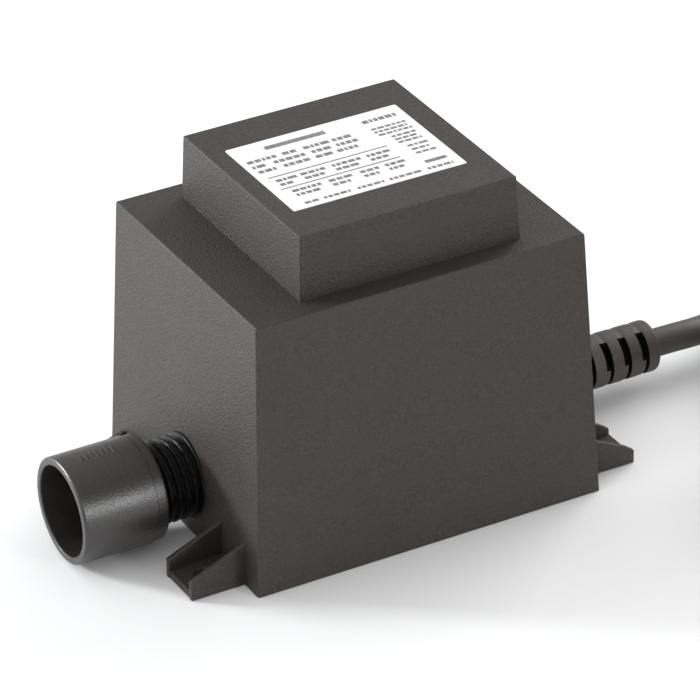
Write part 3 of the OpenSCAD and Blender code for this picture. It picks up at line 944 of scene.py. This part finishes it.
# ---------------------------------------------------------------- strain relief
def relief_piece():
    cz, n = 11.0, 240
    slots = [58.6, 64.2, 69.8, 75.4, 81.0, 86.6]
    outer = fillet(
        [(44.2, 3.95, 0), (44.2, 9.0, 0.3), (46.3, 9.0, 0.3), (46.3, 6.3, 0.2), (50.35, 6.3, 0.1), (50.35, 7.7, 0.3),
         (52.0, 7.7, 0.3), (52.8, 7.4, 0.3)],
        closed=False, seg=3,
    )
    rows = list(outer)

    def apart(a, centre):
        return abs((a - centre + 180) % 360 - 180)

    def body(x, r0):
        near = [s for s in slots if s - 2.2 < x < s + 1.6]

        def r(a):
            value = r0
            for s in near:
                value = min(value, r0 - 0.16 * math.exp(-(((x - s) / 0.8) ** 2)))
                # a thin groove low on the seen side
                g = step(x, s - 0.36, s - 0.24) * step(-x, -s - 0.56, -s - 0.44)
                g *= step(-apart(a, 205), -39.0, -36.0)
                value = min(value, r0 - g * (r0 - 5.9))
                # three deep windows round the sleeve
                w = step(x, s - 1.78, s - 1.62) * step(-x, -s - 0.56, -s - 0.44)
                d = min(apart(a, 145), apart(a, 265), apart(a, 25))
                w *= step(-d, -32.2, -30.2)
                if w > 0:
                    value = min(value, r0 - w * (r0 - 4.5))
            return value

        return r

    x = 52.95
    while x < 89.9:
        r0 = 7.4 + (7.1 - 7.4) * (x - 52.8) / (90.0 - 52.8)
        rows.append((x, body(x, r0)))
        near = any(s - 1.9 < x < s - 1.5 or s - 0.5 < x < s - 0.1 or s + 0.3 < x < s + 0.7 for s in slots)
        x += 0.06 if near else 0.3
    rows += fillet(
        [(90.0, 7.1, 0), (90.5, 6.95, 0.5), (90.9, 6.3, 0.3), (90.9, 4.5, 0.2), (90.5, 3.95, 0)],
        closed=False, seg=3,
    )
    rings = [ring_x(x, r, n, 0.0, cz) for x, r in rows]
    verts, faces = grid(rings, closed=True)
    # the floors and walls of the windows and grooves get a near-black matt material: painted shade in the recesses
    painted_shade_faces = [
        int(52.9 < verts[f[0]][0] < 89.0 and min(math.hypot(verts[i][1], verts[i][2] - cz) for i in f) < 6.75)
        for f in faces
    ]
    piece = add(
        "strain_relief_sleeve", verts, faces, slot="relief_rubber", mats=[RELIEF, RELIEF_PAINTED_SHADE], face_mats=painted_shade_faces
    )
    smooth(piece, 40, weighted=False)
    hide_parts("strain_relief")


relief_piece()


# ---------------------------------------------------------------- rating label
def label_piece():
    cx, cy, w, h, r = -0.7, -0.4, 49.6, 37.0, 0.4
    outline = []
    for sx, sy, a0 in ((1, 1, 0), (-1, 1, 90), (-1, -1, 180), (1, -1, 270)):
        for k in range(9):
            a = math.radians(a0 + 90 * k / 8)
            outline.append((cx + sx * (w / 2 - r) + r * math.cos(a), cy + sy * (h / 2 - r) + r * math.sin(a)))
    bars = []

    def row(y, t, spans, words=True):
        """One printed row: each span is a bar, or a run of short dashes of uneven length."""
        for a, b in spans:
            k, x = 0, a
            while words and b - x > 2.6:
                k += 1
                d = (1.5, 0.9, 1.9, 1.2, 1.7)[(k + len(bars)) % 5]
                bars.append((x, x + d, y - t / 2, y + t / 2))
                x += d + 0.34
            bars.append((x, b, y - t / 2, y + t / 2))

    row(14.0, 1.9, [(-16.2, 1.2)], words=False)
    row(9.1, 1.55, [(-23.9, -15.6), (-13.8, -9.9), (-7.7, -0.4), (0.6, 6.0)])
    row(6.2, 1.55, [(-23.9, -20.2), (-17.7, -8.8), (-6.9, -1.4), (0.3, 6.4)])
    row(3.3, 1.55, [(-23.6, -18.6), (-16.4, -9.0), (-7.2, -2.4), (-1.0, 4.9)])
    row(-0.6, 0.55, [(-23.0, 11.2)], words=False)
    row(-2.9, 1.35, [(-22.0, -16.2), (-15.0, -8.0), (-6.0, 2.2), (4.0, 10.6)])
    row(-5.2, 1.35, [(-22.0, -18.4), (-15.0, -9.4), (-6.0, 0.4), (4.0, 9.0)])
    row(-7.4, 0.55, [(-23.0, 11.2)], words=False)
    row(-9.6, 1.35, [(-21.0, -12.8), (-10.6, -4.0), (-1.6, 3.8), (5.6, 11.2)])
    row(-11.9, 1.35, [(-21.0, -14.4), (-10.6, -5.6), (-1.6, 2.6), (5.6, 9.8)])
    row(13.4, 1.7, [(11.8, 21.6)])
    row(8.9, 1.05, [(11.9, 21.9)])
    row(7.1, 1.05, [(11.9, 21.4)])
    row(5.3, 1.05, [(12.2, 21.9)])
    row(3.0, 1.05, [(14.6, 21.6)])
    row(1.2, 1.05, [(14.6, 20.8)])
    row(-0.6, 1.05, [(14.6, 21.4)])
    row(-3.4, 1.05, [(15.6, 21.4)])
    row(-5.6, 1.05, [(15.6, 20.6)])
    row(-7.8, 1.05, [(15.6, 21.4)])
    row(-13.1, 1.5, [(15.2, 21.4)], words=False)
    row(-16.6, 1.2, [(-21.2, -17.4), (-15.8, -8.2), (-6.2, 1.4), (3.0, 12.0), (14.0, 21.4)])

    points, edges = [Vector(p) for p in outline], []
    n = len(outline)
    edges = [(i, (i + 1) % n) for i in range(n)]
    for a, b, c, d in bars:
        k = len(points)
        points += [Vector(p) for p in ((a, c), (b, c), (b, d), (a, d))]
        edges += [(k, k + 1), (k + 1, k + 2), (k + 2, k + 3), (k + 3, k)]
    vs, _, fs, _, _, _ = delaunay_2d_cdt(points, edges, [], 1, 1e-6)
    verts, faces, kinds = [], [], []
    top = 93.65
    verts = [(v.x, v.y, top) for v in vs]
    for f in fs:
        mx = sum(vs[i].x for i in f) / len(f)
        my = sum(vs[i].y for i in f) / len(f)
        printed = any(a < mx < b and c < my < d for a, b, c, d in bars)
        faces.append(tuple(f))
        kinds.append(1 if printed else 0)
    # straight side wall and underside, from the outline's own vertices
    index = {}
    for i, v in enumerate(vs):
        index[(round(v.x, 4), round(v.y, 4))] = i
    rim = [index[(round(x, 4), round(y, 4))] for x, y in outline]
    k = len(verts)
    for x, y in outline:
        dx, dy = (x - cx) / (w / 2), (y - cy) / (h / 2)
        verts.append((x + 0.0 * dx, y + 0.0 * dy, 93.5))
    for i in range(n):
        j = (i + 1) % n
        faces.append((rim[i], rim[j], k + j, k + i))
        kinds.append(0)
    faces.append(tuple(k + i for i in range(n - 1, -1, -1)))
    kinds.append(0)
    piece = add("rating_label_sheet", verts, faces, slot="label", mats=[LABEL, INK], face_mats=kinds)
    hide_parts("rating_label")


label_piece()

# ---------------------------------------------------------------- nodes that stay as they are
KEPT = {
    "potting_compound": RESIN, "e_laminations": STEEL, "i_laminations": STEEL, "bobbin": NYLON,
    "primary_winding": COPPER_A, "secondary_winding": COPPER_B, "primary_tape": TAPE,
    "secondary_tape": TAPE, "thermal_cutout": SLEEVE, "bobbin_terminals": TINNED,
    "primary_leads": LEAD_RED, "secondary_leads": LEAD_BLUE, "crimp_joints": JOINT,
    "mains_cores": CORE,
}
for name, m in KEPT.items():
    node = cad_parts[name]
    node.data.materials.clear()
    node.data.materials.append(m)

# ---------------------------------------------------------------- floor and light
floor = bpy.data.objects.new("floor", bpy.data.meshes.new("floor"))
floor.data.from_pydata(
    [(-6, -6, -0.0002), (6, -6, -0.0002), (6, 6, -0.0002), (-6, 6, -0.0002)], [], [(0, 1, 2, 3)]
)
floor.data.materials.append(FLOOR)
scene.collection.objects.link(floor)

world = bpy.data.worlds.new("studio")
world.use_nodes = True
sky = world.node_tree
sky.nodes["Background"].inputs["Color"].default_value = (1, 1, 1, 1)
# the studio is brighter towards the left of the object and overhead than in front of it
aim_at = sky.nodes.new("ShaderNodeTexCoord")
lean = sky.nodes.new("ShaderNodeVectorMath")
lean.operation = "DOT_PRODUCT"
lean.inputs[1].default_value = Vector((-0.78, 0.28, 0.56)).normalized()
sky.links.new(aim_at.outputs["Generated"], lean.inputs[0])
sky.links.new(
    range_of(sky, lean.outputs["Value"], -0.4, 0.95, 0.15, 1.26),
    sky.nodes["Background"].inputs["Strength"],
)
scene.world = world


def softbox(name, direction, distance, width, height, watts, tint=(1, 1, 1), aim=(0.0, 0.0, 0.045)):
    data = bpy.data.lights.new(name, "AREA")
    data.color = tint
    data.shape = "RECTANGLE"
    data.size, data.size_y = width, height
    data.energy = watts
    obj = bpy.data.objects.new(name, data)
    scene.collection.objects.link(obj)
    d = Vector(direction).normalized()
    obj.location = Vector(aim) + d * distance
    obj.rotation_euler = d.to_track_quat("Z", "Y").to_euler()
    return obj


softbox("key", (-1, 0.80, 0.34), 1.1, 0.20, 0.16, 11.5, tint=(0.93, 0.98, 1.0))
softbox("rim", (0.86, 0.30, 0.50), 1.3, 0.9, 0.7, 10)
softbox("fill", (0.33, -0.90, 0.24), 1.1, 0.24, 0.16, 3.6)

scene.view_settings.view_transform = "Standard"
